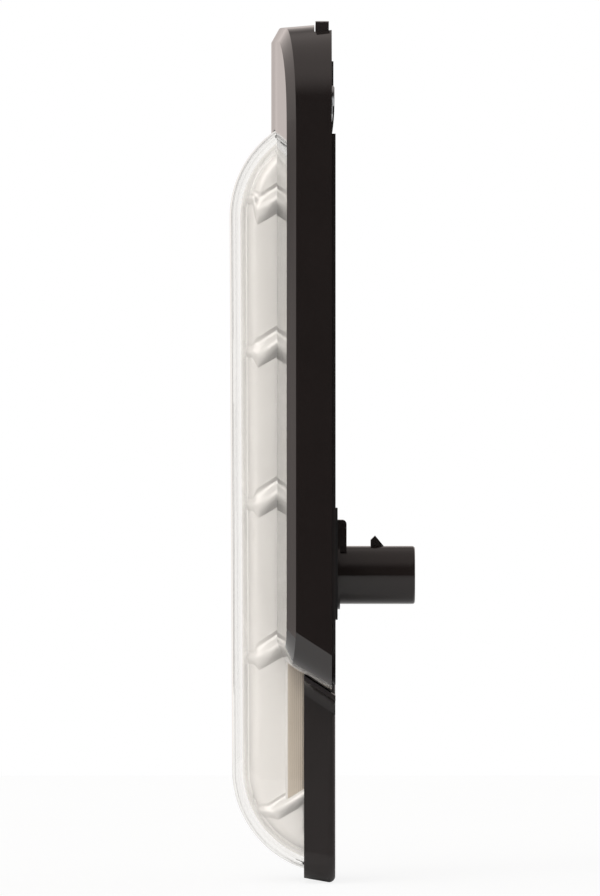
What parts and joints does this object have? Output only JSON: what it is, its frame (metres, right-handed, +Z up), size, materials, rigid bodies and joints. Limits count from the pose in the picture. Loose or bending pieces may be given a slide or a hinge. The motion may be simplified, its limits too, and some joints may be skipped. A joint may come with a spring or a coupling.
{
  "type": "auxiliary indicator lamp",
  "caption": "Tall vehicle indicator lamp: clear lens over reflector bowls, gloss black trim cover, flat-backed housing and a two-way plug socket.",
  "frame": {"origin": "on the rear face, on the centre line, half way up the lamp", "axes": "+Z up the lamp, +Y out of the rear face towards the vehicle, +X to the lamp's left seen from behind"},
  "size_m": [0.09, 0.0452, 0.2097],
  "materials": {
    "housing_plastic": "moulded satin black",
    "trim_gloss": "gloss black",
    "lens_clear": "clear polished acrylic",
    "sealant": "black adhesive bead",
    "reflector_metallised": "satin metallised moulding",
    "board_laminate": "white solder mask",
    "component_black": "epoxy black",
    "component_brown": "ceramic brown",
    "connector_plastic": "moulded black",
    "seal_rubber": "red-brown silicone",
    "gasket_foam": "closed-cell foam",
    "insert_brass": "turned",
    "screw_steel": "zinc plated",
    "membrane_white": "white membrane",
    "clip_plastic": "moulded black",
    "pin_tin": "tin plated",
    "led_white": "white package with clear dome"
  },
  "bodies": {
    "root": {"board_screws": "screw_steel", "capacitors": "component_brown", "circuit_board": "board_laminate", "connector_gasket": "gasket_foam", "connector_seal": "seal_rubber", "connector_socket": "connector_plastic", "diode": "component_black", "driver_chip": "component_black", "housing": "housing_plastic", "led_1": "led_white", "led_2": "led_white", "led_3": "led_white", "led_4": "led_white", "lens": "lens_clear", "lens_sealant": "sealant", "reflector": "reflector_metallised", "reflector_screws": "screw_steel", "resistors": "component_black", "terminal_pin_1": "pin_tin", "terminal_pin_2": "pin_tin", "threaded_inserts": "insert_brass", "top_clip": "clip_plastic", "trim_cover": "trim_gloss", "trim_screws": "screw_steel", "vent_membrane": "membrane_white"}
  },
  "joints": []
}
